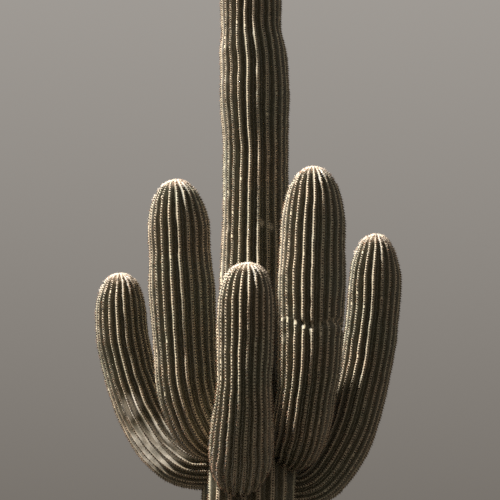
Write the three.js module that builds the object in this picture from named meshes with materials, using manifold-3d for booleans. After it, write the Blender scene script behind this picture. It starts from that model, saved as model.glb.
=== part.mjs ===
// Saguaro cactus: one ribbed trunk with five ribbed arms that leave it below mid height, turn up
// round it and end in domed tips. Millimetres, +Z up, origin in the middle of the flat cut at
// ground level. +X is to the right and -Y towards a viewer who stands in front of the plant.

import * as THREE from 'three';
import { mergeVertices } from 'three/addons/utils/BufferGeometryUtils.js';
import Module from 'manifold-3d';

const wasm = await Module();
wasm.setup();

// Trunk: crest radius by height, and the drift of its middle line, which sways a little to the
// sides and leans away from the viewer above the arms. The ribs are shallow at the foot and
// reach their full depth at FOOT_HEIGHT.
const TRUNK_HEIGHT = 7180;
const TRUNK_RIBS = 22;
const TRUNK_RIB_DEPTH = 36;
const FOOT_RIB_DEPTH = 12;
const FOOT_HEIGHT = 700;
const TRUNK_DOME_RISE = 400;
const TRUNK_GIRTH = [
  { height: 0, radius: 322 },
  { height: 160, radius: 292 },
  { height: 600, radius: 280 },
  { height: 1500, radius: 303 },
  { height: 2400, radius: 324 },
  { height: 2900, radius: 331 },
  { height: 3300, radius: 318 },
  { height: 3800, radius: 268 },
  { height: 4265, radius: 231 },
  { height: 5285, radius: 221 },
  { height: 5600, radius: 234 },
  { height: 5900, radius: 230 },
  { height: 6085, radius: 210 },
  { height: TRUNK_HEIGHT - TRUNK_DOME_RISE, radius: 198 },
];
const TRUNK_DRIFT = [
  { height: 0, x: 0, y: 0 },
  { height: 1600, x: -14, y: 12 },
  { height: 3300, x: 0, y: 6 },
  { height: 4700, x: 16, y: 110 },
  { height: 5035, x: 20, y: 115 },
  { height: 5690, x: 12, y: 120 },
  { height: 6145, x: -12, y: 120 },
  { height: TRUNK_HEIGHT, x: -30, y: 125 },
];

// Arms. Each leaves the trunk level at rootHeight, turns through a quarter of an oval that is
// reach wide and rise high, and then runs straight to its tip, leaning by the given amount.
// Its root stands on the trunk at rootAzimuth, and it heads away in the direction of azimuth,
// both in degrees from +X. A bend power of 2 gives a true oval, and less a flatter one. Girth
// gives crest radii by height along the column.
const ROOT_DISTANCE = 300;
const ARM_RIB_DEPTH = 30;
const ARMS = [
  {
    name: 'left_arm', rootAzimuth: 186, azimuth: 166, ribs: 20, rootHeight: 3014, reach: 586,
    rise: 1150, bendPower: 1.9, neckRadius: 116, heelRadius: 172, heelTurn: 34, tipHeight: 4333,
    domeRise: 325, lean: { x: -22, y: 0 },
    girth: [{ height: 3835, radius: 173 }, { height: 4028, radius: 169 }],
    cuts: [32, 66],
  },
  {
    name: 'mid_left_arm', rootAzimuth: 225, azimuth: 219, ribs: 21, rootHeight: 3178, reach: 243,
    rise: 440, bendPower: 2, neckRadius: 108, heelRadius: 192, heelTurn: 38, tipHeight: 4836,
    domeRise: 390, lean: { x: -99, y: -50 },
    girth: [{ height: 3700, radius: 200 }, { height: 4130, radius: 213 }, { height: 4400, radius: 199 }],
    cuts: [74],
  },
  {
    name: 'front_arm', rootAzimuth: 253, azimuth: 272, ribs: 21, rootHeight: 2952, reach: 650,
    rise: 540, bendPower: 2, neckRadius: 112, heelRadius: 199, heelTurn: 36, tipHeight: 4166,
    domeRise: 283, lean: { x: 26, y: -6 },
    girth: [{ height: 3395, radius: 162 }, { height: 3644, radius: 171 }, { height: 3867, radius: 176 }],
    cuts: [36, 70],
  },
  {
    name: 'mid_right_arm', rootAzimuth: 322, azimuth: 287, ribs: 22, rootHeight: 3115, reach: 334,
    rise: 640, bendPower: 2, neckRadius: 108, heelRadius: 187, heelTurn: 32, tipHeight: 4904,
    domeRise: 450, lean: { x: 62, y: 14 },
    girth: [
      { height: 3400, radius: 192 }, { height: 3692, radius: 207 }, { height: 3851, radius: 206 },
      { height: 3897, radius: 194 }, { height: 3941, radius: 212 }, { height: 4140, radius: 216 },
      { height: 4420, radius: 210 },
    ],
    cuts: [70],
  },
  {
    name: 'right_arm', rootAzimuth: 355, azimuth: 354, ribs: 19, rootHeight: 2894, reach: 489,
    rise: 1532, bendPower: 2, neckRadius: 114, heelRadius: 168, heelTurn: 40, tipHeight: 4559,
    domeRise: 395, lean: { x: 27, y: -12 },
    girth: [{ height: 3868, radius: 174 }, { height: 4145, radius: 174 }],
    cuts: [26, 56],
  },
];

// An arm's neck begins to swell before it leaves the trunk and is full at the heel of the bend,
// at heelTurn. Turns are in degrees, and bends have a ring about every TURN_STEP.
const SWELL_START = -16;
const TURN_STEP = 15;
const TURN_NUDGE = 0.5;
const ROOT_DEPTH = 120;

// Clearances: between two lengths of one arm, and between an arm and the trunk it grows from
const SEAM_GAP = 0.3;
const TRUNK_GAP = 0.45;

// Domes follow a slightly squared oval, with rings closer together towards the tip. Ribs are
// never deeper than a share of the radius, so they fade out over the dome.
const DOME_POWER = 2.3;
const DOME_STEPS = [0.4, 0.7, 0.88, 0.97];
const RIB_SHARE = 0.18;

// Least length of column left between the bend, a girth station and the shoulder
const SHOULDER_ROOM = 60;

const RIB_GREEN = 0x6b6a4c;
const SHADED_GREEN = 0x5c5a41;

const radians = THREE.MathUtils.degToRad;

// Value of one key at a height, eased between the two nearest entries of a table
function eased(table, height, key) {
  const last = table.length - 1;
  if (height <= table[0].height) return table[0][key];
  if (height >= table[last].height) return table[last][key];
  const above = table.findIndex((entry) => entry.height > height);
  const low = table[above - 1];
  const high = table[above];
  const share = THREE.MathUtils.smoothstep(height, low.height, high.height);
  return THREE.MathUtils.lerp(low[key], high[key], share);
}

// Radius of a dome as a share of its base radius, at a share of its rise
function domeShare(share) {
  return Math.pow(1 - Math.pow(share, DOME_POWER), 1 / DOME_POWER);
}

// Closed solid through ribbed rings. A ring has a centre, two side directions, a crest radius
// and a rib depth. The first ring is capped flat, and the last one flat or up to an apex.
function ribbedSolid(rings, ribs, apex) {
  const around = ribs * 2;
  const points = [];
  for (const ring of rings) {
    for (let i = 0; i < around; i += 1) {
      const angle = (i * Math.PI) / ribs;
      const radius = i % 2 === 0 ? ring.radius : ring.radius - ring.depth;
      const point = ring.centre.clone();
      point.addScaledVector(ring.across, Math.cos(angle) * radius);
      point.addScaledVector(ring.away, Math.sin(angle) * radius);
      points.push(point);
    }
  }
  const base = points.length;
  points.push(rings[0].centre.clone());
  points.push(apex ? apex.clone() : rings[rings.length - 1].centre.clone());
  const faces = [];
  const top = (rings.length - 1) * around;
  for (let i = 0; i < around; i += 1) {
    const next = (i + 1) % around;
    for (let ring = 0; ring < rings.length - 1; ring += 1) {
      const low = ring * around;
      const high = low + around;
      faces.push(low + i, low + next, high + next, low + i, high + next, high + i);
    }
    faces.push(base, next, i);
    faces.push(base + 1, top + i, top + next);
  }
  const geometry = new THREE.BufferGeometry();
  geometry.setAttribute('position', new THREE.Float32BufferAttribute(points.flatMap((p) => p.toArray()), 3));
  geometry.setIndex(faces);
  return geometry;
}

function toSolid(geometry) {
  const merged = mergeVertices(geometry, 1e-4);
  return new wasm.Manifold(new wasm.Mesh({
    numProp: 3,
    vertProperties: merged.attributes.position.array,
    triVerts: Uint32Array.from(merged.index.array),
  }));
}

function toGeometry(solid) {
  const mesh = solid.getMesh();
  const geometry = new THREE.BufferGeometry();
  geometry.setAttribute('position', new THREE.BufferAttribute(mesh.vertProperties, 3));
  geometry.setIndex(new THREE.BufferAttribute(mesh.triVerts, 1));
  return geometry;
}

// Trunk: level rings from the flared foot to its domed tip, all of it grown by an allowance
// where the same shape serves to cut the arms
function trunkRing(height, radius, allowance) {
  const footShare = THREE.MathUtils.smoothstep(height, 0, FOOT_HEIGHT);
  const depth = THREE.MathUtils.lerp(FOOT_RIB_DEPTH, TRUNK_RIB_DEPTH, footShare);
  return {
    centre: new THREE.Vector3(eased(TRUNK_DRIFT, height, 'x'), eased(TRUNK_DRIFT, height, 'y'), height),
    across: new THREE.Vector3(1, 0, 0),
    away: new THREE.Vector3(0, 1, 0),
    radius: radius + allowance,
    depth: Math.min(depth, radius * RIB_SHARE),
  };
}

function trunkGeometry(allowance) {
  const shoulder = TRUNK_GIRTH[TRUNK_GIRTH.length - 1];
  const rings = TRUNK_GIRTH.map((entry) => trunkRing(entry.height, entry.radius, allowance));
  for (const share of DOME_STEPS) {
    const height = shoulder.height + share * TRUNK_DOME_RISE;
    rings.push(trunkRing(height, shoulder.radius * domeShare(share), allowance));
  }
  const tip = TRUNK_DRIFT[TRUNK_DRIFT.length - 1];
  return ribbedSolid(rings, TRUNK_RIBS, new THREE.Vector3(tip.x, tip.y, TRUNK_HEIGHT + allowance));
}

// The middle line of an arm at a height: round the oval first, then straight up with the lean
function armPoint(arm, height) {
  const risen = THREE.MathUtils.clamp((height - arm.rootHeight) / arm.rise, 0, 1);
  const spread = arm.reach * Math.pow(1 - Math.pow(1 - risen, arm.bendPower), 1 / arm.bendPower);
  const stand = radians(arm.rootAzimuth);
  const bearing = radians(arm.azimuth);
  const leanShare = Math.max(0, (height - arm.rootHeight) / (arm.tipHeight - arm.rootHeight));
  return new THREE.Vector3(
    ROOT_DISTANCE * Math.cos(stand) + spread * Math.cos(bearing) + arm.lean.x * leanShare,
    ROOT_DISTANCE * Math.sin(stand) + spread * Math.sin(bearing) + arm.lean.y * leanShare,
    height,
  );
}

// Height reached after a turn of 0 degrees, where the arm leaves the trunk, to 90, upright
function turnHeight(arm, degrees) {
  return arm.rootHeight + arm.rise * (1 - Math.cos(radians(degrees)));
}

function turnAtHeight(arm, height) {
  return THREE.MathUtils.radToDeg(Math.acos(1 - (height - arm.rootHeight) / arm.rise));
}

function ringAt(arm, centre, direction, radius) {
  const bearing = radians(arm.azimuth);
  const level = new THREE.Vector3(-Math.sin(bearing), Math.cos(bearing), 0);
  const across = level.addScaledVector(direction, -level.dot(direction)).normalize();
  const away = new THREE.Vector3().crossVectors(direction, across);
  return { centre, direction, across, away, radius, depth: Math.min(ARM_RIB_DEPTH, radius * RIB_SHARE) };
}

// Crest radius by turn: the neck swells into the heel and then eases into the column
function turnRadius(arm, degrees) {
  const swell = THREE.MathUtils.smoothstep(degrees, SWELL_START, arm.heelTurn);
  const settle = THREE.MathUtils.smoothstep(degrees, arm.heelTurn, 90);
  const column = eased(arm.girth, turnHeight(arm, degrees), 'radius');
  const heel = THREE.MathUtils.lerp(arm.neckRadius, arm.heelRadius, swell);
  return THREE.MathUtils.lerp(heel, column, settle);
}

function turnRing(arm, degrees) {
  const before = armPoint(arm, turnHeight(arm, Math.max(degrees - TURN_NUDGE, 0)));
  const after = armPoint(arm, turnHeight(arm, degrees + TURN_NUDGE));
  const direction = after.sub(before).normalize();
  return ringAt(arm, armPoint(arm, turnHeight(arm, degrees)), direction, turnRadius(arm, degrees));
}

function columnRing(arm, height, radius) {
  const direction = armPoint(arm, height + 1).sub(armPoint(arm, height - 1)).normalize();
  return ringAt(arm, armPoint(arm, height), direction, radius);
}

// A ring moved along the arm, so that two lengths of the arm meet with a seam between them
function shifted(ring, along) {
  return { ...ring, centre: ring.centre.clone().addScaledVector(ring.direction, along) };
}

function bendRings(arm, from, to) {
  const steps = Math.max(2, Math.round((to - from) / TURN_STEP));
  const rings = [];
  for (let i = 0; i <= steps; i += 1) rings.push(turnRing(arm, from + ((to - from) * i) / steps));
  return rings;
}

function seamed(rings, openStart, openEnd) {
  const result = [...rings];
  const last = result.length - 1;
  if (!openStart) result[0] = shifted(result[0], SEAM_GAP / 2);
  if (!openEnd) result[last] = shifted(result[last], -SEAM_GAP / 2);
  return result;
}

// The upright column: the end of the bend, the girth stations above it, and the dome
function columnGeometry(arm, from) {
  const shoulder = arm.tipHeight - arm.domeRise;
  const bendTop = Math.min(arm.rootHeight + arm.rise, shoulder) - SHOULDER_ROOM;
  const rings = bendRings(arm, from, turnAtHeight(arm, bendTop));
  const stations = arm.girth.filter((entry) => entry.height > bendTop + SHOULDER_ROOM);
  for (const entry of stations) rings.push(columnRing(arm, entry.height, entry.radius));
  const shoulderRadius = eased(arm.girth, shoulder, 'radius');
  rings.push(columnRing(arm, shoulder, shoulderRadius));
  for (const share of DOME_STEPS) {
    rings.push(columnRing(arm, shoulder + share * arm.domeRise, shoulderRadius * domeShare(share)));
  }
  return ribbedSolid(seamed(rings, false, true), arm.ribs, armPoint(arm, arm.tipHeight));
}

// The root of the arm starts ROOT_DEPTH further inside the trunk, which is then taken out of it
function rootGeometry(arm, to, trunkCutter) {
  const stand = radians(arm.rootAzimuth);
  const start = turnRing(arm, 0);
  const inward = new THREE.Vector3(-Math.cos(stand), -Math.sin(stand), 0);
  const inside = { ...start, centre: start.centre.clone().addScaledVector(inward, ROOT_DEPTH) };
  const rings = [inside, ...bendRings(arm, 0, to)];
  const solid = toSolid(ribbedSolid(seamed(rings, true, false), arm.ribs));
  return toGeometry(solid.subtract(trunkCutter));
}

function elbowGeometry(arm, from, to) {
  return ribbedSolid(seamed(bendRings(arm, from, to), false, false), arm.ribs);
}

function addMesh(name, geometry, color) {
  const material = new THREE.MeshStandardMaterial({ color, roughness: 0.75, metalness: 0 });
  const mesh = new THREE.Mesh(geometry, material);
  mesh.name = name;
  cactus.add(mesh);
}

const cactus = new THREE.Group();
addMesh('trunk', trunkGeometry(0), RIB_GREEN);

const trunkCutter = toSolid(trunkGeometry(TRUNK_GAP));
for (const arm of ARMS) {
  const [firstCut, secondCut] = arm.cuts;
  addMesh(`${arm.name}_root`, rootGeometry(arm, firstCut, trunkCutter), SHADED_GREEN);
  if (secondCut) addMesh(`${arm.name}_elbow`, elbowGeometry(arm, firstCut, secondCut), SHADED_GREEN);
  addMesh(`${arm.name}_column`, columnGeometry(arm, secondCut ?? firstCut), RIB_GREEN);
}

export default cactus;
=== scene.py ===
# %% [markdown]
# # Saguaro cactus
# A saguaro is a column of water-filled flesh, pleated into ribs so that it can swell and shrink.
# Along the crest of every rib sits a row of small felt cushions, and a cluster of spines grows
# out of each one. This lesson builds the plant in that order: first the ribbed skin of the trunk
# and arms, then the felt, then the spines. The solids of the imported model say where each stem
# stands, and every new piece stays in their place.

# %% Load the fixed frame
import math

import bpy
import numpy as np
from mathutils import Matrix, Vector


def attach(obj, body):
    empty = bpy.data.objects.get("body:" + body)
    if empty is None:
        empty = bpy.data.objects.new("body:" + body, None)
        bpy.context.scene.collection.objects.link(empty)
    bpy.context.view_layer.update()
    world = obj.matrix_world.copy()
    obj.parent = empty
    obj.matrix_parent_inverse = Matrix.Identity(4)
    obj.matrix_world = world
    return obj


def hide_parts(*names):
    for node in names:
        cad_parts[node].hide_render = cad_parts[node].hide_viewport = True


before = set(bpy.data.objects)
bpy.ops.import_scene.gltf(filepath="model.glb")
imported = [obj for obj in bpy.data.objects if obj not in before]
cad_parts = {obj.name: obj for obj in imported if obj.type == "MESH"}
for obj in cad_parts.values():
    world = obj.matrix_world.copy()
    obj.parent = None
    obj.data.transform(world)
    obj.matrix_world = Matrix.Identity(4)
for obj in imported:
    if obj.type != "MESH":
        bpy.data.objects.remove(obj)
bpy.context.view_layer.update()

print("solids:", sorted(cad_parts))

# %% [markdown]
# ## Camera
# The photograph was taken from in front of the plant, at eye height, some twelve metres away, with
# the camera tilted up at the crown. The lens angle follows from that distance and from the 150
# pixels that a metre takes up beside the trunk. The top of the trunk and its lower part lie
# outside the picture, as they do in the photograph.

# %% Camera
IMAGE_SIDE = 500
FOCAL_PIXELS = 1851
SENSOR_WIDTH = 36.0
EYE = (-0.02, -12.0, 1.6)
TILT_UP = math.radians(13.5)

camera_data = bpy.data.cameras.new("camera")
camera_data.sensor_width = SENSOR_WIDTH
camera_data.lens = SENSOR_WIDTH * FOCAL_PIXELS / IMAGE_SIDE
camera = bpy.data.objects.new("camera", camera_data)
camera.location = EYE
camera.rotation_euler = (math.radians(90) + TILT_UP, 0, 0)
bpy.context.scene.collection.objects.link(camera)
bpy.context.scene.camera = camera
print("lens", round(camera_data.lens, 1), "mm, tilted up", round(math.degrees(TILT_UP), 1), "degrees")

# %% [markdown]
# ## Light and floor
# The light comes from the left and well up, so half of each stem is lit and the valleys between
# the ribs stay dark. One sun lamp with a small angle gives that, with slightly softened edges. A
# plain surround fills the shade. It is darker below than above, so that the undersides of the
# arms stay darker than their tips, and the floor is kept from throwing light up at them.
# The spines are thinner than a pixel, and noise reduction takes them for noise and wipes them
# out, so it is turned off.

# %% Sun
SUN_HEIGHT = math.radians(48)
SUN_BEARING = math.radians(183.5)
SUN_DISTANCE = 20.0
SUN_STRENGTH = 14.5
SUN_ANGLE = math.radians(2.5)
SUN_TONE = (1.0, 0.965, 0.915)

sun_data = bpy.data.lights.new("sun", "SUN")
sun_data.energy = SUN_STRENGTH
sun_data.angle = SUN_ANGLE
sun_data.color = SUN_TONE
sun = bpy.data.objects.new("sun", sun_data)
to_sun = Vector((
    math.cos(SUN_BEARING) * math.cos(SUN_HEIGHT),
    math.sin(SUN_BEARING) * math.cos(SUN_HEIGHT),
    math.sin(SUN_HEIGHT),
))
sun.location = to_sun * SUN_DISTANCE
sun.rotation_euler = (-to_sun).to_track_quat("-Z", "Y").to_euler()
bpy.context.scene.collection.objects.link(sun)
print("sun", round(math.degrees(SUN_HEIGHT)), "degrees up")

# %% Surround and floor
LOW_SURROUND = (0.130, 0.115, 0.098)
HIGH_SURROUND = (0.43, 0.405, 0.375)
HIGH_SURROUND_FROM = 0.5
FLOOR_SIDE = 18.0
FLOOR_TONE = (0.21, 0.19, 0.165)
FLOOR_ROUGHNESS = 0.9


def opaque(tone):
    return (*tone, 1)


def plain_finish(name, tone, roughness):
    finish = bpy.data.materials.new(name)
    finish.use_nodes = True
    shader = finish.node_tree.nodes["Principled BSDF"]
    shader.inputs["Base Color"].default_value = opaque(tone)
    shader.inputs["Roughness"].default_value = roughness
    finish.diffuse_color = opaque(tone)
    return finish


world = bpy.data.worlds.new("surround")
world.use_nodes = True
world_nodes = world.node_tree.nodes
direction = world_nodes.new("ShaderNodeTexCoord")
upwards = world_nodes.new("ShaderNodeSeparateXYZ")
brightness = world_nodes.new("ShaderNodeValToRGB")
low_end, high_end = brightness.color_ramp.elements
low_end.position, high_end.position = 0.0, HIGH_SURROUND_FROM
low_end.color, high_end.color = opaque(LOW_SURROUND), opaque(HIGH_SURROUND)
world.node_tree.links.new(direction.outputs["Generated"], upwards.inputs["Vector"])
world.node_tree.links.new(upwards.outputs["Z"], brightness.inputs["Fac"])
world.node_tree.links.new(brightness.outputs["Color"], world_nodes["Background"].inputs["Color"])
bpy.context.scene.world = world
bpy.context.scene.view_settings.view_transform = "Standard"
bpy.context.scene.cycles.use_denoising = False

bpy.ops.object.select_all(action="DESELECT")
bpy.ops.mesh.primitive_plane_add(size=FLOOR_SIDE, location=(0, 0, 0))
floor = bpy.context.object
floor.name = "floor"
floor.data.materials.append(plain_finish("pale_floor", FLOOR_TONE, FLOOR_ROUGHNESS))
floor.visible_diffuse = False
print("floor", FLOOR_SIDE, "m wide")

# %% [markdown]
# ## The sizes of the stems
# Each stem is described by a middle line and by the radius of its crests along that line, in
# metres, with the same sizes as the solids. The trunk rises from a flared foot. Each arm leaves
# it level, turns up through a quarter of an oval and runs straight to a domed tip.
#
# - `ribs` and `depth` are the number of ribs and how deep they are folded, `pitch` the distance
#   between two cushions on a rib, and `turn` how far the stem is turned, in ribs.
# - `tip` is the height of the tip and `dome` the height of its rounded part.
# - `girth` lists heights with the crest radius there, and `drift` heights with the trunk's middle.
# - `stand` is the bearing at which an arm comes out of the trunk, `azimuth` the bearing of its
#   bend, `root` the height of both, `reach` and `rise` the two radii of the bend, and `power` how
#   square it is.
# - `neck` and `heel` are the crest radii at the root and on the bend, `heel_turn` where the heel is
#   full, in degrees of the bend, `lean` how far the tip leans away from upright, to the right and
#   to the back, and `crease` the height of a crease, on the arm that has one.

# %% Sizes of the trunk and arms
TRUNK = {
    "ribs": 22, "depth": 0.044, "pitch": 0.0166, "turn": 0.16, "tip": 7.18, "dome": 0.40,
    "girth": [
        (0.0, 0.322), (0.16, 0.292), (0.6, 0.280), (1.5, 0.303), (2.4, 0.324), (2.9, 0.331),
        (3.3, 0.318), (3.8, 0.268), (4.265, 0.231), (5.285, 0.221), (5.6, 0.234), (5.9, 0.230),
        (6.085, 0.210), (6.78, 0.198),
    ],
    "drift": [
        (0.0, 0.0, 0.0), (1.6, -0.014, 0.012), (3.3, 0.0, 0.006), (4.7, 0.016, 0.110),
        (5.035, 0.020, 0.115), (5.69, 0.012, 0.120), (6.145, -0.012, 0.120), (7.18, -0.030, 0.125),
    ],
}
ARMS = {
    "left_arm": {
        "ribs": 20, "depth": 0.038, "pitch": 0.0172, "turn": -0.36,
        "stand": 186, "azimuth": 166, "root": 3.014, "reach": 0.586, "rise": 1.150, "power": 1.9,
        "neck": 0.116, "heel": 0.172, "heel_turn": 34, "tip": 4.333, "dome": 0.325,
        "lean": (-0.022, 0.0), "girth": [(3.835, 0.173), (4.028, 0.169)],
    },
    "mid_left_arm": {
        "ribs": 21, "depth": 0.038, "pitch": 0.0182, "turn": 0.12,
        "stand": 225, "azimuth": 219, "root": 3.178, "reach": 0.243, "rise": 0.440, "power": 2,
        "neck": 0.108, "heel": 0.192, "heel_turn": 38, "tip": 4.836, "dome": 0.39,
        "lean": (-0.099, -0.050), "girth": [(3.70, 0.200), (4.13, 0.213), (4.40, 0.199)],
    },
    "front_arm": {
        "ribs": 21, "depth": 0.038, "pitch": 0.0200, "turn": 0.04,
        "stand": 253, "azimuth": 272, "root": 2.952, "reach": 0.650, "rise": 0.540, "power": 2,
        "neck": 0.112, "heel": 0.199, "heel_turn": 36, "tip": 4.166, "dome": 0.283,
        "lean": (0.026, -0.006), "girth": [(3.395, 0.162), (3.644, 0.171), (3.867, 0.176)],
    },
    "mid_right_arm": {
        "ribs": 22, "depth": 0.038, "pitch": 0.0180, "turn": -0.45,
        "stand": 322, "azimuth": 287, "root": 3.115, "reach": 0.334, "rise": 0.640, "power": 2,
        "neck": 0.108, "heel": 0.187, "heel_turn": 32, "tip": 4.904, "dome": 0.450,
        "lean": (0.062, 0.014),
        "girth": [(3.40, 0.192), (3.692, 0.207), (3.87, 0.210), (4.14, 0.216), (4.42, 0.210)],
        "crease": 3.864,
    },
    "right_arm": {
        "ribs": 19, "depth": 0.038, "pitch": 0.0164, "turn": -0.60,
        "stand": 355, "azimuth": 354, "root": 2.894, "reach": 0.489, "rise": 1.532, "power": 2,
        "neck": 0.114, "heel": 0.168, "heel_turn": 40, "tip": 4.559, "dome": 0.395,
        "lean": (0.027, -0.012), "girth": [(3.868, 0.174), (4.145, 0.174)],
    },
}
STEMS = {"trunk": TRUNK, **ARMS}
for name, stem in STEMS.items():
    print(name, "has", stem["ribs"], "ribs and its tip is", stem["tip"], "m up")

# %% [markdown]
# ## Middle line and girth
# Small functions of the height ease a value between two entries of a table and give the middle
# line and the crest radius of a stem. Formulas are better here than a curve drawn by hand, because
# the skin, the cushions and the test of what is hidden all ask for the same line.

# %% Easing between two heights
def smooth_step(value, low, high):
    share = min(1.0, max(0.0, (value - low) / (high - low)))
    return share * share * (3 - 2 * share)


def eased(table, height, column=1):
    if height <= table[0][0]:
        return table[0][column]
    for low, high in zip(table, table[1:]):
        if height < high[0]:
            share = smooth_step(height, low[0], high[0])
            return low[column] + (high[column] - low[column]) * share
    return table[-1][column]


print("the trunk's middle at 5 m stands", round(eased(TRUNK["drift"], 5.0, 2), 3), "m back")

# %% Middle line
ROOT_DISTANCE = 0.30
ROOT_DEPTH = 0.16


def middle_point(stem, height):
    if "drift" in stem:
        return Vector((eased(stem["drift"], height, 1), eased(stem["drift"], height, 2), height))
    left = 1 - min(1.0, (height - stem["root"]) / stem["rise"])
    spread = stem["reach"] * (1 - left ** stem["power"]) ** (1 / stem["power"])
    stand, bearing = math.radians(stem["stand"]), math.radians(stem["azimuth"])
    lean_share = (height - stem["root"]) / (stem["tip"] - stem["root"])
    return Vector((
        ROOT_DISTANCE * math.cos(stand) + spread * math.cos(bearing) + stem["lean"][0] * lean_share,
        ROOT_DISTANCE * math.sin(stand) + spread * math.sin(bearing) + stem["lean"][1] * lean_share,
        height,
    ))


def root_run(stem, step):
    """A point of the short run inside the trunk, from which an arm sets out."""
    stand = math.radians(stem["stand"])
    inward = Vector((-math.cos(stand), -math.sin(stand), 0))
    return middle_point(stem, stem["root"]) + inward * (ROOT_DEPTH - step)


for name, arm in ARMS.items():
    print(name, "has its tip at", [round(v, 2) for v in middle_point(arm, arm["tip"])])

# %% Crest radius
# In degrees of the bend: where the bend begins, the swelling is already under way
SWELL_START = -16
# 2 rounds a dome like an egg, and more makes it blunter
DOME_POWER = 2.3


def turn_at(arm, height):
    """How far an arm has turned up at a height, in degrees: 0 is level and 90 is upright."""
    return math.degrees(math.acos(1 - min(1.0, max(0.0, (height - arm["root"]) / arm["rise"]))))


def crest_radius(stem, height):
    radius = eased(stem["girth"], height)
    if "neck" in stem:
        turn = turn_at(stem, height)
        swell = smooth_step(turn, SWELL_START, stem["heel_turn"])
        heel = stem["neck"] + (stem["heel"] - stem["neck"]) * swell
        radius = heel + (radius - heel) * smooth_step(turn, stem["heel_turn"], 90)
    shoulder = stem["tip"] - stem["dome"]
    if height > shoulder:
        share = min(1.0, (height - shoulder) / stem["dome"])
        radius *= (1 - share ** DOME_POWER) ** (1 / DOME_POWER)
    return radius


print("trunk radius at 3 m and 5 m:", round(crest_radius(TRUNK, 3), 3), round(crest_radius(TRUNK, 5), 3))

# %% [markdown]
# ## Rings along a stem
# The skin needs rings of points close enough for round tips and soft folds. The outline is walked
# along its surface in steps that shrink towards the tip, where it turns over quickly, and at a
# crease. The lower trunk is plain, so its rings lie further apart. Each ring notes its height, its
# distance along the middle line, its radius and how far it is from the tip.

# %% Walk along the outline
DENSE_STEPS = 4000


def outline(stem):
    """Rows of height, distance along the middle line, crest radius, distance along the surface."""
    start = stem.get("root", 0.0)
    turns = np.linspace(0, 1, DENSE_STEPS)
    if "root" in stem:
        heights = start + (stem["tip"] - start) * (0.5 - 0.5 * np.cos(turns * math.pi))
    else:
        heights = stem["tip"] * np.sin(turns * math.pi / 2)
    first_radius = crest_radius(stem, start)
    rows = [(start, 0.0, first_radius, 0.0)]
    if "root" in stem:
        rows.append((start, ROOT_DEPTH, first_radius, ROOT_DEPTH))
    before = middle_point(stem, heights[0])
    for height in heights[1:]:
        point = middle_point(stem, height)
        step = (point - before).length
        radius = crest_radius(stem, height)
        _, along, last_radius, surface = rows[-1]
        rows.append((height, along + step, radius, surface + math.hypot(step, radius - last_radius)))
        before = point
    return np.array(rows)


outlines = {name: outline(stem) for name, stem in STEMS.items()}
for name, table in outlines.items():
    print(name, "is", round(table[-1, 1], 2), "m long")

# %% Place the rings
RING_SPACING = 0.0115
TIP_RING_SPACING = 0.006
TIP_ZONE = 0.12
COARSE_BELOW = 2.9
COARSE_SPACING = 0.023
CREASE_SPACING = 0.005
CREASE_ZONE = 0.085
APEX_ROOM = 0.004


def ring_spacing(stem, height, left):
    if abs(height - stem.get("crease", -1)) < CREASE_ZONE:
        return CREASE_SPACING
    if "drift" in stem and height < COARSE_BELOW:
        return COARSE_SPACING
    return TIP_RING_SPACING + (RING_SPACING - TIP_RING_SPACING) * smooth_step(left, 0, TIP_ZONE)


def place_rings(stem, table):
    """The rings of a stem from its foot to its tip."""
    total = table[-1, 3]
    rings = []
    surface = 0.0
    while surface < total - APEX_ROOM:
        height, along, radius = (float(np.interp(surface, table[:, 3], table[:, i])) for i in (0, 1, 2))
        left = total - surface
        rings.append({"height": height, "along": along, "radius": radius, "left": left})
        surface += ring_spacing(stem, height, left)
    return rings


stem_rings = {name: place_rings(stem, outlines[name]) for name, stem in STEMS.items()}
for name, rings in stem_rings.items():
    print(name, "has", len(rings), "rings")

# %% [markdown]
# ## Spinning a skin
# A stem is easiest to make standing straight on the Z axis. One vertex is extruded along the
# outline and the chain is spun once round the axis, which also closes the foot and the tip. Eight
# columns of faces to a rib are enough for a rounded crest and a sharp valley. Then every vertex
# is looked up by its ring and column, to find the crests and valleys again.

# %% Spin a stem from its outline
FULL_TURN = 2 * math.pi
COLUMNS_PER_RIB = 8
MERGE_DISTANCE = 1e-5


def spin_stem(name, stem, rings, length):
    """The smooth straight stem."""
    bpy.ops.object.select_all(action="DESELECT")
    bpy.ops.mesh.primitive_plane_add(size=0.01)
    skin = bpy.context.object
    skin.name = skin.data.name = name
    bpy.ops.object.mode_set(mode="EDIT")
    bpy.ops.mesh.select_all(action="SELECT")
    bpy.ops.mesh.merge(type="CENTER")
    place = Vector((0, 0, 0))
    for point in [Vector((ring["radius"], 0, ring["along"])) for ring in rings] + [Vector((0, 0, length))]:
        bpy.ops.mesh.extrude_region_move(TRANSFORM_OT_translate={"value": point - place})
        place = point
    columns = stem["ribs"] * COLUMNS_PER_RIB
    bpy.ops.mesh.select_all(action="SELECT")
    bpy.ops.mesh.spin(steps=columns, angle=FULL_TURN, center=(0, 0, 0), axis=(0, 0, 1))
    bpy.ops.mesh.select_all(action="SELECT")
    bpy.ops.mesh.remove_doubles(threshold=MERGE_DISTANCE)
    bpy.ops.mesh.normals_make_consistent(inside=False)
    bpy.ops.object.mode_set(mode="OBJECT")
    return skin


skins = {}
for name, stem in STEMS.items():
    skins[name] = spin_stem(name + "_skin", stem, stem_rings[name], float(outlines[name][-1, 1]))
    print(skins[name].name, "has", len(skins[name].data.vertices), "points")

# %% Look up the vertices by ring and column
OFF_AXIS = 1e-4
# Points looked up at one time, to save memory
BATCH = 20000


def points_of(mesh):
    points = np.empty(len(mesh.vertices) * 3, np.float32)
    mesh.vertices.foreach_get("co", points)
    return points.reshape(-1, 3).astype(float)


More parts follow.
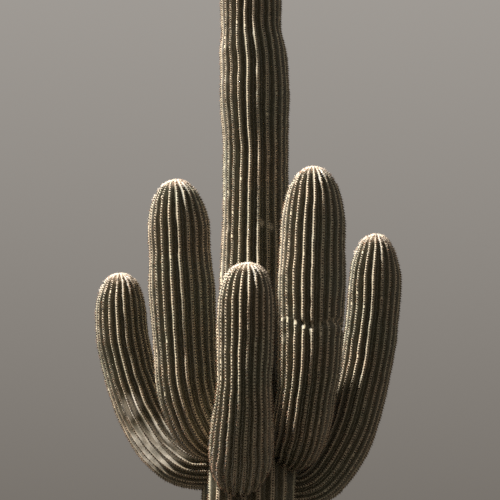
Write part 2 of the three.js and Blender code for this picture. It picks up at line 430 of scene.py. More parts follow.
def number_vertices(skin, stem, rings):
    """Which vertex stands at each ring and column of the straight stem."""
    points = points_of(skin.data)
    columns = stem["ribs"] * COLUMNS_PER_RIB
    out = np.hypot(points[:, 0], points[:, 1])
    on_wall = np.flatnonzero(out > OFF_AXIS)
    turn = np.arctan2(points[on_wall, 1], points[on_wall, 0])
    column = np.rint(turn / FULL_TURN * columns).astype(int) % columns
    radius = np.array([ring["radius"] for ring in rings])
    along = np.array([ring["along"] for ring in rings])
    nearest = np.empty(len(on_wall), int)
    for start in range(0, len(on_wall), BATCH):
        part = on_wall[start:start + BATCH]
        far = (points[part, 2, None] - along) ** 2 + (out[part, None] - radius) ** 2
        nearest[start:start + BATCH] = far.argmin(1)
    numbers = np.full((len(rings), columns), -1)
    numbers[nearest, column] = on_wall
    if (numbers < 0).any() or len(on_wall) != numbers.size:
        raise ValueError(skin.name + " has a gap in its rings")
    return numbers


grids = {name: number_vertices(skins[name], stem, stem_rings[name]) for name, stem in STEMS.items()}
for name, numbers in grids.items():
    print(name, "has", numbers.shape[0], "rings of", numbers.shape[1], "points")

# %% [markdown]
# ## Pressing in the ribs
# Every valley is pressed in by a Displace modifier along the normals. Its vertex group is empty on
# the crests and full in the valleys, so the crests keep the radius of the solids. The foot has
# shallow ribs. One arm once stopped growing for a while, which left a crease half way up: a sharp
# fold that waves as it runs round the arm, fades out towards the back and has a low knuckle of
# flesh below it. The crease is pressed in together with the ribs. So that the modifier need only
# press in, the other crests of this arm lie 1.5 mm further in than the knuckle.

# %% Depth of the ribs
# How deep the eight columns of a rib lie, from one crest to the next
RIB_SECTION = (0.0, 0.09, 0.34, 0.70, 1.0, 0.70, 0.34, 0.09)
# No rib is deeper than this share of the radius, so the ribs run out at the tip
RIB_SHARE = 0.215
FOOT_DEPTH_SHARE = 1 / 3
FOOT_HEIGHT = 0.7


def rib_depth(stem, ring):
    depth = stem["depth"]
    if "drift" in stem:
        depth *= FOOT_DEPTH_SHARE + (1 - FOOT_DEPTH_SHARE) * smooth_step(ring["height"], 0, FOOT_HEIGHT)
    return min(depth, ring["radius"] * RIB_SHARE)


print("rib depth at the foot:", round(rib_depth(TRUNK, stem_rings["trunk"][0]), 3), "m")

# %% The crease
CREASE_WIDTH = 0.012
CREASE_SLOPE = 0.034
CREASE_DEPTH = 0.026
CREASE_RIB_SHARE = 0.5
CREASE_WAVE = 0.027
CREASE_WAVES = 3
CREASE_LOW_SIDE = math.radians(245)
CREASE_SIDE = math.radians(287)
CREASE_FADE = 0.5
KNUCKLE_RISE = 0.004
KNUCKLE_FADE = 0.09
KNUCKLE_ROUND = 0.030


def crease_height(stem, turn):
    """The crease waves up and down as it runs round the stem."""
    return stem["crease"] - CREASE_WAVE * np.cos(CREASE_WAVES * (turn - CREASE_LOW_SIDE))


def column_turns(stem):
    columns = stem["ribs"] * COLUMNS_PER_RIB
    return np.arange(columns) * FULL_TURN / columns


def above_crease(stem, rings):
    """How far each ring and column stands above the crease."""
    heights = np.array([ring["height"] for ring in rings])
    return heights[:, None] - crease_height(stem, column_turns(stem))[None]


def fold_in(stem, rings, depths, section):
    """The depths with the crease: narrow above its line, a longer slope and the knuckle below it."""
    above = above_crease(stem, rings)
    strength = np.clip(np.cos(column_turns(stem) - CREASE_SIDE) / CREASE_FADE, 0, 1)
    pinch = np.exp(-((above / np.where(above > 0, CREASE_WIDTH, CREASE_SLOPE)) ** 2)) * strength
    folded = pinch * (CREASE_DEPTH + CREASE_RIB_SHARE * stem["depth"] * section)
    below = np.maximum(0, -above)
    knuckle = (1 - np.exp(-((below / KNUCKLE_ROUND) ** 2))) * np.exp(-below / KNUCKLE_FADE)
    return np.maximum(depths, folded) - knuckle * strength * (1 - section) * KNUCKLE_RISE


for name, stem in STEMS.items():
    if "crease" in stem:
        print(name, "is creased", stem["crease"], "m up")

# %% Press the ribs in
WEIGHT_DIGITS = 3


def apply_modifier(obj, name, kind, **settings):
    bpy.ops.object.select_all(action="DESELECT")
    bpy.context.view_layer.objects.active = obj
    obj.select_set(True)
    modifier = obj.modifiers.new(name, kind)
    for key, value in settings.items():
        setattr(modifier, key, value)
    bpy.ops.object.modifier_apply(modifier=name)


def weigh(skin, group_name, numbers, weights):
    group = skin.vertex_groups.new(name=group_name)
    for ring, row in zip(numbers, weights):
        for weight in np.unique(row):
            group.add(ring[row == weight].tolist(), float(weight), "REPLACE")


def press_ribs(skin, stem, rings, numbers):
    section = np.tile(RIB_SECTION, stem["ribs"])
    depths = np.outer([rib_depth(stem, ring) for ring in rings], section)
    if "crease" in stem:
        depths = fold_in(stem, rings, depths, section)
    lift = max(0.0, -float(depths.min()))
    reach = float(depths.max()) + lift
    weigh(skin, "valleys", numbers, np.round((depths + lift) / reach, WEIGHT_DIGITS))
    apply_modifier(
        skin, "ribs", "DISPLACE", strength=-reach, mid_level=0, vertex_group="valleys",
    )
    print(skin.name, "is pressed in by up to", round(reach, 3), "m, its crests by", round(lift, 4), "m")


for name, stem in STEMS.items():
    press_ribs(skins[name], stem, stem_rings[name], grids[name])

# %% [markdown]
# ## Where the skin is deep and where it is woolly
# The finish has to know two things about each point: how deep in a valley it lies, and how near it
# is to the growing tip, which is covered with wool. Both are stored as attributes on the mesh, so
# they follow the ribs wherever the stem bends.

# %% Store the relief and the wool
WOOL_ZONE = (0.06, 0.15)


def store(skin, attribute, values):
    data = skin.data.attributes.new(attribute, "FLOAT", "POINT").data
    data.foreach_set("value", np.asarray(values, np.float32))


for name, stem in STEMS.items():
    relief = np.zeros(len(skins[name].data.vertices))
    relief[grids[name]] = np.tile(RIB_SECTION, stem["ribs"])
    store(skins[name], "relief", relief)
    wool = np.ones(len(relief))
    woolly = [1 - smooth_step(ring["left"], *WOOL_ZONE) for ring in stem_rings[name]]
    wool[grids[name]] = np.array(woolly)[:, None]
    store(skins[name], "wool", wool)
    print(name, "has", int((wool > 0).sum()), "woolly points")

# %% [markdown]
# ## Turning the ribs into place
# The ribs of each stem are turned until its crests stand where they do on the real plant. Above
# the crease they don't quite line up with those below it, so that part is turned a little further.

# %% Turn the ribs
RIB_SHIFT = 0.08


def edit_points(skin, chosen):
    """Go into edit mode with only the chosen points selected."""
    bpy.ops.object.select_all(action="DESELECT")
    bpy.context.view_layer.objects.active = skin
    skin.select_set(True)
    bpy.ops.object.mode_set(mode="EDIT")
    bpy.ops.mesh.select_all(action="DESELECT")
    bpy.ops.object.mode_set(mode="OBJECT")
    skin.data.vertices.foreach_set("select", chosen)
    bpy.ops.object.mode_set(mode="EDIT")
    bpy.ops.mesh.select_mode(type="VERT")


def turn_ribs(skin, stem, chosen, share):
    """Turn the chosen points about the straight stem's axis by a share of a rib."""
    edit_points(skin, chosen)
    angle = share * FULL_TURN / stem["ribs"]
    bpy.ops.transform.rotate(value=angle, orient_axis="Z", center_override=(0, 0, 0))
    bpy.ops.object.mode_set(mode="OBJECT")


for name, stem in STEMS.items():
    skin, rings = skins[name], stem_rings[name]
    turn_ribs(skin, stem, np.ones(len(skin.data.vertices), bool), stem["turn"])
    if "crease" in stem:
        above = points_of(skin.data)[:, 2] > rings[-1]["along"]
        above[grids[name][above_crease(stem, rings) > 0]] = True
        turn_ribs(skin, stem, above, RIB_SHIFT)
        print(name, "has", int(above.sum()), "points above its crease")

# %% [markdown]
# ## Bending and roughening
# A Curve modifier bends each straight stem along its middle line. Grown flesh is never as even as
# a turned post, so two cloud displacements, one large and soft and one small, take that look away.
# The group `free` holds the clouds back at the foot, which is then levelled on the ground and
# given a sharp rim, because the trunk is cut off flat there.

# %% Bend a stem
PATH_POINTS = 260


def lay_path(name, stem, table):
    """The middle line as a curve, beginning where the straight stem has its base."""
    curve = bpy.data.curves.new(name, "CURVE")
    curve.dimensions = "3D"
    curve.twist_mode = "MINIMUM"
    spline = curve.splines.new("POLY")
    along = np.linspace(0, table[-1, 1], PATH_POINTS)
    heights = np.interp(along, table[:, 1], table[:, 0])
    points = [middle_point(stem, height) for height in heights]
    if "root" in stem:
        points = [
            root_run(stem, step) if step < ROOT_DEPTH else point for step, point in zip(along, points)
        ]
    spline.points.add(len(points) - 1)
    for knot, point in zip(spline.points, points):
        knot.co = (*point, 1)
    path = bpy.data.objects.new(name, curve)
    bpy.context.scene.collection.objects.link(path)
    return path


for name, stem in STEMS.items():
    path = lay_path(name + "_path", stem, outlines[name])
    apply_modifier(skins[name], "bend", "CURVE", object=path, deform_axis="POS_Z")
    bpy.data.objects.remove(path)
    print(name, "now reaches", round(float(points_of(skins[name].data)[:, 2].max()), 2), "m up")

# %% Roughen the stems and level the foot
CLOUDS = (("swells", 0.34, 0.022), ("dents", 0.075, 0.0055))
FIRM_HEIGHT = 0.25


def roughen(skin):
    points = points_of(skin.data)
    free = skin.vertex_groups.new(name="free")
    low = points[:, 2] < FIRM_HEIGHT
    free.add(np.flatnonzero(~low).tolist(), 1.0, "REPLACE")
    for number in np.flatnonzero(low):
        free.add([int(number)], float(max(0.0, points[number, 2]) / FIRM_HEIGHT), "REPLACE")
    for name, size, strength in CLOUDS:
        texture = bpy.data.textures.new(name, "CLOUDS")
        texture.noise_scale = size
        texture.cloud_type = "COLOR"
        apply_modifier(
            skin, name, "DISPLACE", texture=texture, texture_coords="LOCAL", direction="RGB_TO_XYZ",
            mid_level=0.5, strength=strength, vertex_group="free",
        )


def level_foot(skin, ring):
    """Flatten the lowest ring onto the ground and give it a sharp rim."""
    chosen = np.zeros(len(skin.data.vertices), bool)
    chosen[ring] = True
    edit_points(skin, chosen)
    bpy.ops.transform.resize(value=(1, 1, 0), center_override=(0, 0, 0))
    bpy.ops.mesh.mark_sharp()
    bpy.ops.object.mode_set(mode="OBJECT")


for skin in skins.values():
    roughen(skin)
    bpy.ops.object.shade_smooth()
    print(skin.name, 2 * len(skin.data.polygons), "triangles at most")
level_foot(skins["trunk"], grids["trunk"][0])

# %% [markdown]
# ## Scars and a painted sheen
# Two small patches of healed skin show on the front of the trunk above the arms, and the bend of
# the left arm gets a pale painted sheen, a painted highlight where the light falls on it. Each is a
# point with a reach to the side, in depth and in height, and is stored as an attribute that the
# finish reads later. No spines grow on a scar.

# %% Mark the scars and the painted sheen
# Each patch: its centre and its reach
SCARS = (
    ((0.060, -0.110, 4.647), (0.011, 0.05, 0.034)),
    ((0.119, -0.085, 4.627), (0.010, 0.05, 0.030)),
)
# Patches of painted sheen on the bend of the left arm: a painted highlight
PAINTED_SHEEN_PATCHES = (
    ((-0.60, -0.12, 3.17), (0.26, 0.26, 0.18)),
    ((-0.80, -0.10, 3.42), (0.09, 0.12, 0.10)),
)
# Each fade: the share at the centre before it is cut off at 1, and what it has lost at the reach
SCAR_FADE = (1.6, 1.0)
PAINTED_SHEEN_FADE = (1.5, 1.5)


def patch_share(points, patches, middle, fall):
    """1 in the middle of a patch and 0 outside it, for each point."""
    share = np.zeros(len(points))
    for centre, reach in patches:
        away = (((points - centre) / reach) ** 2).sum(1)
        share = np.maximum(share, np.clip(middle - fall * away, 0, 1))
    return share


def scar_share(points):
    return patch_share(points, SCARS, *SCAR_FADE)


for skin in skins.values():
    points = points_of(skin.data)
    store(skin, "scar", scar_share(points))
    # The painted sheen: a pale painted highlight on the bend of the left arm
    store(skin, "painted_sheen", patch_share(points, PAINTED_SHEEN_PATCHES, *PAINTED_SHEEN_FADE))
print("scarred points on the trunk:", int((scar_share(points_of(skins["trunk"].data)) > 0).sum()))

# %% [markdown]
# ## Where the cushions sit
# Cushions stand along the crest line of each rib, up to about two centimetres apart, and closer
# together towards the growing tip. No two ribs are in step, so each rib gets a start of its own.
# A cushion needs a point and a small frame: one direction to the side, one up along the rib and
# one straight out of the skin. Those that would be hidden inside another stem are left out, as
# are some on the old, corky foot and those in the crease. Where the ribs meet at the tip, only
# every second or fourth one keeps them.

# %% Points hidden inside another stem
HIDDEN_DEPTH = 0.012
TEST_BALLS = 240
ROOT_TEST_BALLS = 12


def inside_other_stem(points, name):
    """True for points that lie well inside a stem other than their own, taken as a chain of balls."""
    hidden = np.zeros(len(points), bool)
    for other, stem in STEMS.items():
        if other == name:
            continue
        start = stem.get("root", 0.0)
        heights = list(np.linspace(start, stem["tip"], TEST_BALLS))
        centres = [middle_point(stem, height) for height in heights]
        if "root" in stem:
            heights += [start] * ROOT_TEST_BALLS
            centres += [root_run(stem, step) for step in np.linspace(0, ROOT_DEPTH, ROOT_TEST_BALLS)]
        for centre, height in zip(np.array(centres), heights):
            radius = max(0.0, crest_radius(stem, height) - HIDDEN_DEPTH)
            hidden |= ((points - centre) ** 2).sum(1) < radius ** 2
    return hidden


start = np.array([root_run(ARMS["left_arm"], 0)])
print("the left arm begins inside another stem:", bool(inside_other_stem(start, "left_arm")[0]))

# %% Spots along one rib
TIP_PITCH = 0.0085
CROWDED_ZONE = 0.16
PITCH_JITTER = 0.09
LEAST_RIB_WIDTH = 0.0075


def rib_marks(pitch, length, random):
    """Distances from the tip at which one rib bears its cushions."""
    marks = []
    left = APEX_ROOM + random.random() * TIP_PITCH
    while left < length:
        marks.append(left)
        step = TIP_PITCH + (pitch - TIP_PITCH) * smooth_step(left, 0, CROWDED_ZONE)
        left += step * random.uniform(1 - PITCH_JITTER, 1 + PITCH_JITTER)
    return np.array(marks)


def walk_rib(stem, rib, line, first_left, radii, random):
    """Spots along a crest line, counted in its points, and their distances from the tip."""
    steps = np.linalg.norm(np.diff(line, axis=0), axis=1)
    walked = np.concatenate([[0], steps.cumsum()]) + first_left
    marks = rib_marks(stem["pitch"], walked[-1], random)
    spots = np.interp(marks, walked, np.arange(len(line)))
    rib_width = FULL_TURN * np.interp(spots, np.arange(len(line)), radii) / stem["ribs"]
    every = np.where(rib_width > LEAST_RIB_WIDTH, 1, np.where(rib_width > LEAST_RIB_WIDTH / 2, 2, 4))
    kept = rib % every == 0
    return spots[kept], marks[kept]


print("cushions on 2 m of rib:", len(rib_marks(TRUNK["pitch"], 2.0, np.random.default_rng(0))))

# %% Cushions of a stem
SEED = 20
BARE_FOOT = (0.10, 0.9)
CREASE_BARE = (-0.014, 0.012)
BARE_SCAR = 0.2
KEPT_SHARE = 0.985


def normals_of(mesh):
    normals = np.empty(len(mesh.vertices) * 3, np.float32)
    mesh.vertex_normals.foreach_get("vector", normals)
    return normals.reshape(-1, 3)


def find_cushions(name, stem):
    """Points, frames and distances from the tip of all the cushions of one stem."""
    random = np.random.default_rng(SEED + len(name))
    points, normals = points_of(skins[name].data), normals_of(skins[name].data)
    rings = stem_rings[name]
    radii = np.array([ring["radius"] for ring in rings])[::-1]
    rows = []
    for rib in range(stem["ribs"]):
        crest = grids[name][::-1, rib * COLUMNS_PER_RIB]
        line = points[crest]
        spots, marks = walk_rib(stem, rib, line, rings[-1]["left"], radii, random)
        low = np.minimum(spots.astype(int), len(line) - 2)
        share = (spots - low)[:, None]
        place = line[low] * (1 - share) + line[low + 1] * share
        out = normals[crest[low]] * (1 - share) + normals[crest[low + 1]] * share
        rows.append((place, line[low] - line[low + 1], out, marks, np.full(len(marks), rib)))
    places, ups, outs, lefts, ribs = map(np.concatenate, zip(*rows))
    ups /= np.linalg.norm(ups, axis=1)[:, None]
    outs -= ups * (outs * ups).sum(1)[:, None]
    outs /= np.linalg.norm(outs, axis=1)[:, None]
    frames = np.stack([np.cross(ups, outs), ups, outs], axis=2)
    kept = ~inside_other_stem(places, name) & (scar_share(places) < BARE_SCAR)
    if "crease" in stem:
        above = places[:, 2] - crease_height(stem, ribs * FULL_TURN / stem["ribs"])
        kept &= (above < CREASE_BARE[0]) | (above > CREASE_BARE[1])
    foot_share = np.clip((places[:, 2] - BARE_FOOT[0]) / (BARE_FOOT[1] - BARE_FOOT[0]), 0, 1)
    kept &= random.random(len(places)) < np.where(places[:, 2] > BARE_FOOT[1], KEPT_SHARE, foot_share)
    return places[kept], frames[kept], lefts[kept]


cushions = {name: find_cushions(name, stem) for name, stem in STEMS.items()}
for name, (places, frames, lefts) in cushions.items():
    print(name, "has", len(places), "cushions")

# %% [markdown]
# ## One cluster of spines
# A grown cushion carries a flat star of short spines, most of them to the sides, and a few longer
# ones in the middle that point out and a little down. A young one near the tip is a dense brush.
# Each spine is a slim three-sided cone, open where it goes into the felt, so it has only three
# faces. A few clusters of each kind are modelled once and then copied thousands of times.

# %% Model the clusters
# Each group: count, direction round the cushion in degrees (0 to the side, 90 up the rib), how far
# it fans out, tilt away from straight out, length in metres, width at the base in metres
GROWN = (
    (2, 180, 70, (58, 76), (0.008, 0.012), 0.0022),
    (2, 0, 70, (58, 76), (0.008, 0.012), 0.0022),
    (1, 90, 20, (50, 62), (0.006, 0.008), 0.0016),
    (3, 270, 200, (14, 46), (0.012, 0.018), 0.0026),
)
YOUNG = (
    (5, 180, 150, (40, 70), (0.009, 0.013), 0.0028),
    (5, 0, 150, (40, 70), (0.009, 0.013), 0.0028),
    (6, 270, 360, (4, 32), (0.011, 0.018), 0.0026),
)
FAN_JITTER = 0.25
SPINE_SINK = 0.001
SPINE_SEAT = 0.003


def add_spine(tilt, turn, length, width):
    """A cone from the cushion outwards: x to the side, y up along the rib, z out of the skin."""
    side = Vector((math.cos(turn), math.sin(turn), 0))
    direction = side * math.sin(tilt) + Vector((0, 0, math.cos(tilt)))
    bpy.ops.mesh.primitive_cone_add(
        vertices=3, radius1=width / 2, radius2=0, depth=length, end_fill_type="NOTHING",
        location=side * SPINE_SEAT * math.sin(tilt) + direction * (length / 2 - SPINE_SINK),
        rotation=direction.to_track_quat("Z", "Y").to_euler(),
    )
    return bpy.context.object


def model_cluster(kind, random):
    bpy.ops.object.select_all(action="DESELECT")
    spines = []
    for count, towards, fan, tilts, lengths, width in kind:
        for i in range(count):
            stray = random.uniform(-FAN_JITTER, FAN_JITTER)
            turn = towards + fan * ((i + 0.5) / count - 0.5 + stray / count)
            tilt = math.radians(random.uniform(*tilts))
            spines.append(add_spine(tilt, math.radians(turn), random.uniform(*lengths), width))
    for spine in spines:
        spine.select_set(True)
    bpy.context.view_layer.objects.active = spines[0]
    bpy.ops.object.join()
    bpy.ops.object.transform_apply(location=True, rotation=True, scale=True)
    return bpy.context.object


print("spines in a grown and a young cluster:", sum(g[0] for g in GROWN), sum(g[0] for g in YOUNG))

# %% Model the felt cushion
BUN_SIDES = 6
BUN_RADIUS = 0.0056
BUN_RISE = 0.0030
BUN_TOP = (0.6, 0.8)


def model_cushion(random):
    """A low bun of felt, narrower at the top, that sits in the skin."""
    bpy.ops.object.select_all(action="DESELECT")
    bpy.ops.mesh.primitive_circle_add(vertices=BUN_SIDES, radius=BUN_RADIUS, fill_type="NGON")
    cushion = bpy.context.object
    bpy.ops.object.mode_set(mode="EDIT")
    bpy.ops.mesh.select_all(action="SELECT")
    bpy.ops.mesh.extrude_region_move(TRANSFORM_OT_translate={"value": (0, 0, BUN_RISE)})
    bpy.ops.transform.resize(value=(random.uniform(*BUN_TOP), random.uniform(*BUN_TOP), 1))
    bpy.ops.object.mode_set(mode="OBJECT")
    return cushion


print("a cushion of felt is", round(2 * BUN_RADIUS, 4), "m wide")

# %% Keep the modelled shapes as templates
CLUSTERS_PER_KIND = 4
BUN_SHAPES = 3


def take_template(obj):
    """The points and triangles of a modelled shape; the object itself is not kept."""
    bpy.ops.object.select_all(action="DESELECT")
    bpy.context.view_layer.objects.active = obj
    obj.select_set(True)
    bpy.ops.object.mode_set(mode="EDIT")
    bpy.ops.mesh.select_all(action="SELECT")
    bpy.ops.mesh.quads_convert_to_tris()
    bpy.ops.object.mode_set(mode="OBJECT")
    triangles = np.empty(len(obj.data.polygons) * 3, int)
    obj.data.polygons.foreach_get("vertices", triangles)
    template = (points_of(obj.data), triangles.reshape(-1, 3))
    bpy.data.objects.remove(obj)
    return template


random = np.random.default_rng(SEED)
grown_clusters = [take_template(model_cluster(GROWN, random)) for _ in range(CLUSTERS_PER_KIND)]
young_clusters = [take_template(model_cluster(YOUNG, random)) for _ in range(CLUSTERS_PER_KIND)]
felt_buns = [take_template(model_cushion(random)) for _ in range(BUN_SHAPES)]
print("faces of a grown cluster:", len(grown_clusters[0][1]), "young:", len(young_clusters[0][1]),
      "bun:", len(felt_buns[0][1]))

# %% [markdown]
# ## Planting the clusters
# Thousands of copies are quickest as one mesh for each stem, or two for the long trunk, filled
# from arrays. Every copy is turned into the frame of its cushion and gets a size and a colour of
# its own, drawn with a seeded generator so that the plant is the same each time. Colours are dealt
# out by cluster: pale fresh spines on pale felt at the tips, mostly rust and ash spines on dark
# felt lower down. That near-black felt is partly the felt's own dark colour and partly painted
# shade, the shadow that each cluster throws on the crest.

# %% Colours of spines and felt
SPINE_TONES = {
    "spine_new": (0.68, 0.555, 0.43),
    "spine_white": (0.48, 0.42, 0.35),
    "spine_cream": (0.26, 0.22, 0.165),
    "spine_straw": (0.19, 0.145, 0.095),
    "spine_rust": (0.33, 0.175, 0.092),
    "spine_ash": (0.075, 0.062, 0.046),
}
GROWN_SHARES = (0.0, 0.01, 0.05, 0.12, 0.44, 0.38)
YOUNG_SHARES = (0.60, 0.22, 0.08, 0.02, 0.08, 0.0)
SPINE_ROUGHNESS = 0.55
# The two dark felt tones are partly the felt's own colour and partly painted shade, the shadow each
# cluster throws on the crest
FELT_TONES = {
    "dark_felt_and_painted_shade": (0.020, 0.016, 0.011),
    "umber_felt_and_painted_shade": (0.040, 0.031, 0.021),
    "felt_pale": (0.45, 0.37, 0.28),
}
# The tones before this one are dark
PALE_FELT = 2
FELT_ROUGHNESS = 0.95

spine_finishes = [plain_finish(name, tone, SPINE_ROUGHNESS) for name, tone in SPINE_TONES.items()]
felt_finishes = [plain_finish(name, tone, FELT_ROUGHNESS) for name, tone in FELT_TONES.items()]
print("finishes:", [finish.name for finish in spine_finishes + felt_finishes])

# %% One mesh with a copy at every place
def fill_mesh(name, points, triangles, tones, finishes):
    mesh = bpy.data.meshes.new(name)
    mesh.vertices.add(len(points))
    mesh.vertices.foreach_set("co", points.astype(np.float32).ravel())
    mesh.loops.add(triangles.size)
    mesh.loops.foreach_set("vertex_index", triangles.astype(np.int32).ravel())
    mesh.polygons.add(len(triangles))
    mesh.polygons.foreach_set("loop_start", np.arange(0, triangles.size, 3, dtype=np.int32))
    for finish in finishes:
        mesh.materials.append(finish)
    mesh.polygons.foreach_set("material_index", tones.astype(np.int32))
    mesh.update(calc_edges=True)
    return mesh


def plant(name, templates, which, places, frames, sizes, tones, finishes):
    """One piece with a copy of the chosen template at every place."""
    all_points, all_triangles, all_tones = [], [], []
    start = 0
    for number, (points, triangles) in enumerate(templates):
        chosen = np.flatnonzero(which == number)
        copies = np.einsum("nij,nmj->nmi", frames[chosen], points[None] * sizes[chosen, None, None])
        copies += places[chosen, None, :]
        starts = start + np.arange(len(chosen)) * len(points)
        all_points.append(copies.reshape(-1, 3))
        all_triangles.append((triangles[None] + starts[:, None, None]).reshape(-1, 3))
        all_tones.append(np.repeat(tones[chosen], len(triangles)))
        start += len(chosen) * len(points)
    points, triangles, tones = map(np.concatenate, (all_points, all_triangles, all_tones))
    piece = bpy.data.objects.new(name, fill_mesh(name, points, triangles, tones, finishes))
    bpy.context.scene.collection.objects.link(piece)
    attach(piece, "root")
    print(name, len(triangles), "triangles")
    return piece


print("shapes to plant:", len(grown_clusters + young_clusters), "clusters,", len(felt_buns), "buns")

# %% Plant every stem
YOUNG_ZONE = (0.08, 0.25)
PALE_FELT_ZONE = (0.04, 0.12)
SIZE_RANGE = (0.85, 1.15)
SKIN_OFFSET = -0.0008
TRUNK_SPLIT = 3.6


def deal(random, shares, count):
    return random.choice(len(shares), size=count, p=np.array(shares) / sum(shares))


def plant_stem(name, label, part):
    places, frames, lefts = (values[part] for values in cushions[name])
    random = np.random.default_rng(SEED + len(label))
    count = len(places)
    young = random.random(count) > np.interp(lefts, YOUNG_ZONE, (0, 1))
    which = random.integers(0, CLUSTERS_PER_KIND, count) + CLUSTERS_PER_KIND * young
    sizes = random.uniform(*SIZE_RANGE, count)
    tones = np.where(young, deal(random, YOUNG_SHARES, count), deal(random, GROWN_SHARES, count))
    seats = places + frames[:, :, 2] * SKIN_OFFSET
    clusters = grown_clusters + young_clusters
    spines = plant(label + "_spines", clusters, which, seats, frames, sizes, tones, spine_finishes)
    buns = random.integers(0, len(felt_buns), count)
    # Lower down the felt takes a near-black tone: partly real dark felt, partly painted shade
    pale = random.random(count) > np.interp(lefts, PALE_FELT_ZONE, (0, 1))
    felt_tones = np.where(pale, PALE_FELT, random.integers(0, PALE_FELT, count))
    felt = plant(label + "_felt", felt_buns, buns, seats, frames, sizes, felt_tones, felt_finishes)


trunk_heights = cushions["trunk"][0][:, 2]
plant_stem("trunk", "trunk_lower", trunk_heights < TRUNK_SPLIT)
plant_stem("trunk", "trunk_upper", trunk_heights >= TRUNK_SPLIT)
for name in ARMS:
    plant_stem(name, name, slice(None))

# %% [markdown]
# ## Finish of the skin
# The skin is a waxy grey-green. A thin line along each crest is cream, partly the pale, corky crest
# itself and partly a painted highlight where the light catches it. The flanks just beside it are
# painted darkest, a painted shade on the part the light falls on, and the valleys, which lie in
# shade, are painted a little paler again, as painted light. Slow noise turns it browner and greener
# in patches, fine noise gives the grain of the waxy skin and its pores, and the foot turns to brown
# cork. Ribs, wool, scars and the painted sheen come from the attributes stored on the mesh.

# %% Helpers for shader nodes
def feed(tree, socket, value):
    """Give a socket a plain value, or join it to another socket."""
    if isinstance(value, bpy.types.NodeSocket):
        tree.links.new(value, socket)
    else:
        socket.default_value = value


def add_node(tree, kind, settings=None, **inputs):
    """One node with its inputs; _ stands for a space in an input's name."""
    node = tree.nodes.new("ShaderNode" + kind)
    for key, value in (settings or {}).items():
        setattr(node, key, value)
    for key, value in inputs.items():
        feed(tree, node.inputs[key.replace("_", " ")], value)
    return node


def add_math(tree, operation, *values):
    node = add_node(tree, "Math", {"operation": operation})
    for socket, value in zip(node.inputs, values):
        feed(tree, socket, value)
    return node.outputs["Value"]


def add_ramp(tree, source, stops):
    node = add_node(tree, "ValToRGB", Fac=source)
    ramp = node.color_ramp
    while len(ramp.elements) < len(stops):
        ramp.elements.new(0.5)
    for element, (position, tone) in zip(ramp.elements, stops):
        element.position = position
        element.color = opaque(tone)
    return node.outputs["Color"]


def mix(tree, share, first, second, blend="MIX"):
    node = add_node(tree, "MixRGB", {"blend_type": blend}, Fac=share, Color1=first, Color2=second)
    return node.outputs["Color"]


def multiply(tree, first, second):
    return mix(tree, 1.0, first, second, "MULTIPLY")


def noise(tree, place, scale, detail, roughness=0.55):
    node = add_node(tree, "TexNoise", Vector=place, Scale=scale, Detail=detail, Roughness=roughness)
    return node.outputs["Fac"]


def stored(tree, attribute):
    return add_node(tree, "Attribute", {"attribute_name": attribute}).outputs["Fac"]


def grey(value):
    return (value, value, value)


print("the node helpers are ready")

# %% Tones and patterns of the skin
# Cream of the crest line: partly the pale crest, partly a painted highlight
CREST_TONE_AND_HIGHLIGHT = (0.485, 0.415, 0.325)
# Flanks painted darkest where the light falls on them: painted shade
FLANK_TONE = (0.070, 0.0615, 0.0405)
# Valleys painted paler than the flanks: painted light in their shade
VALLEY_TONE_AND_PAINTED_LIGHT = (0.110, 0.098, 0.068)
GREENER = (0.92, 0.98, 0.86)
BROWNER = (1.10, 1.0, 0.86)
WOOL_TONE = (0.62, 0.515, 0.41)
SCAR_TONE = (0.55, 0.48, 0.36)
# Pale tone of the painted sheen, a painted highlight on the bend of the left arm
PAINTED_SHEEN_TONE = (0.52, 0.475, 0.40)
CORK_TONE = (0.17, 0.115, 0.07)

# Each ramp: pairs of a position and the tone there
# By depth: a painted highlight on the crests, painted shade on the flanks, painted light in the valleys
DEPTH_RAMP = ((0.0, CREST_TONE_AND_HIGHLIGHT), (0.05, CREST_TONE_AND_HIGHLIGHT), (0.20, FLANK_TONE), (0.75, VALLEY_TONE_AND_PAINTED_LIGHT))
PATCH_RAMP = ((0.36, GREENER), (0.64, BROWNER))
GRAIN_RAMP = ((0.30, grey(0.72)), (0.70, grey(1.22)))
FLECK_RAMP = ((0.62, grey(0.0)), (0.74, grey(1.0)))
# The mottle breaks up the painted sheen, a painted highlight
MOTTLE_RAMP = ((0.36, grey(0.35)), (0.60, grey(0.95)))
CORK_HEIGHT_RAMP = ((0.05, grey(1.0)), (0.75, grey(0.0)))
CORK_PATCH_RAMP = ((0.35, grey(0.55)), (0.60, grey(1.0)))
ROUGHNESS_RAMP = ((0.10, grey(0.66)), (0.40, grey(0.42)))

# Each noise: scale, detail and, where it isn't the usual one, roughness
WOBBLE = (60.0, 3.0)
GRAIN = (170.0, 4.0, 0.70)
FLECKS = (420.0, 2.0)
MOTTLE = (9.0, 3.0)
CORK = (9.0, 5.0)
PORES = (240.0, 3.0, 0.65)
PATCH_DETAIL = 4.0

WOBBLE_REACH = 0.16
PORE_STRENGTH = 0.35
PORE_DEPTH = 0.0015
print("tone of the crests:", CREST_TONE_AND_HIGHLIGHT)


# %% Build the skin finishes
TRUNK_PATCH_SCALE = 2.4
ARM_PATCH_SCALE = 3.1


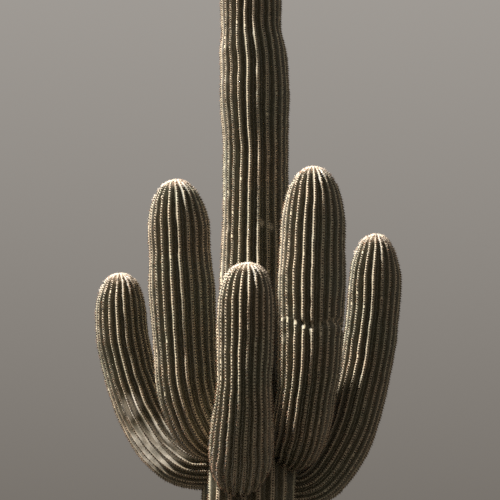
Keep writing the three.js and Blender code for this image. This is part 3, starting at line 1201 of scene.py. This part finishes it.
def skin_tone(tree, place, depth, patch_scale):
    """Colour by depth, with a painted highlight on the crests, painted shade on the flanks and painted
    light in the valleys, then patches and grain, with scars, the painted sheen, wool and cork laid over
    it.
    """
    # Painted highlight, shade and light across each rib, by its depth
    tone = add_ramp(tree, depth, DEPTH_RAMP)
    tone = multiply(tree, tone, add_ramp(tree, noise(tree, place, patch_scale, PATCH_DETAIL), PATCH_RAMP))
    grain = add_ramp(tree, noise(tree, place, *GRAIN), GRAIN_RAMP)
    tone = multiply(tree, tone, grain)
    tone = mix(tree, add_ramp(tree, noise(tree, place, *FLECKS), FLECK_RAMP), tone, opaque(CREST_TONE_AND_HIGHLIGHT))
    tone = mix(tree, stored(tree, "scar"), tone, opaque(SCAR_TONE))
    # The painted sheen, broken up by mottle: a pale painted highlight on the bend of the left arm
    mottle = add_ramp(tree, noise(tree, place, *MOTTLE), MOTTLE_RAMP)
    tone = mix(tree, multiply(tree, stored(tree, "painted_sheen"), mottle), tone, opaque(PAINTED_SHEEN_TONE))
    tone = mix(tree, stored(tree, "wool"), tone, opaque(WOOL_TONE))
    height = add_node(tree, "SeparateXYZ", Vector=place).outputs["Z"]
    corky = add_ramp(tree, noise(tree, place, *CORK), CORK_PATCH_RAMP)
    corky = multiply(tree, add_ramp(tree, height, CORK_HEIGHT_RAMP), corky)
    return mix(tree, corky, tone, multiply(tree, opaque(CORK_TONE), grain))


def skin_finish(name, patch_scale):
    finish = bpy.data.materials.new(name)
    finish.use_nodes = True
    tree = finish.node_tree
    shader = tree.nodes["Principled BSDF"]
    place = add_node(tree, "TexCoord").outputs["Object"]
    relief = add_math(tree, "SUBTRACT", stored(tree, "relief"), WOBBLE_REACH / 2)
    depth = add_math(tree, "MULTIPLY_ADD", noise(tree, place, *WOBBLE), WOBBLE_REACH, relief)
    feed(tree, shader.inputs["Base Color"], skin_tone(tree, place, depth, patch_scale))
    feed(tree, shader.inputs["Roughness"], add_ramp(tree, depth, ROUGHNESS_RAMP))
    pores = noise(tree, place, *PORES)
    bump = add_node(tree, "Bump", Strength=PORE_STRENGTH, Distance=PORE_DEPTH, Height=pores)
    feed(tree, shader.inputs["Normal"], bump.outputs["Normal"])
    return finish


trunk_finish = skin_finish("trunk_skin_finish", TRUNK_PATCH_SCALE)
arm_finish = skin_finish("arm_skin_finish", ARM_PATCH_SCALE)
for name, skin in skins.items():
    skin.data.materials.append(trunk_finish if name == "trunk" else arm_finish)
print("skin finishes:", trunk_finish.name, arm_finish.name)

# %% [markdown]
# ## Take the place of the solids
# Each skin takes the place of the solids of its stem: one for the trunk, and two or three for an
# arm. The plant is one rigid body, so every skin rides on it, as the spines and felt do.

# %% Finish
CAD_NODES = {
    "trunk": ["trunk"],
    "left_arm": ["left_arm_root", "left_arm_elbow", "left_arm_column"],
    "mid_left_arm": ["mid_left_arm_root", "mid_left_arm_column"],
    "front_arm": ["front_arm_root", "front_arm_elbow", "front_arm_column"],
    "mid_right_arm": ["mid_right_arm_root", "mid_right_arm_column"],
    "right_arm": ["right_arm_root", "right_arm_elbow", "right_arm_column"],
}
for name, skin in skins.items():
    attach(skin, "root")
    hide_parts(*CAD_NODES[name])
print("skins in place of solids:", len(skins))
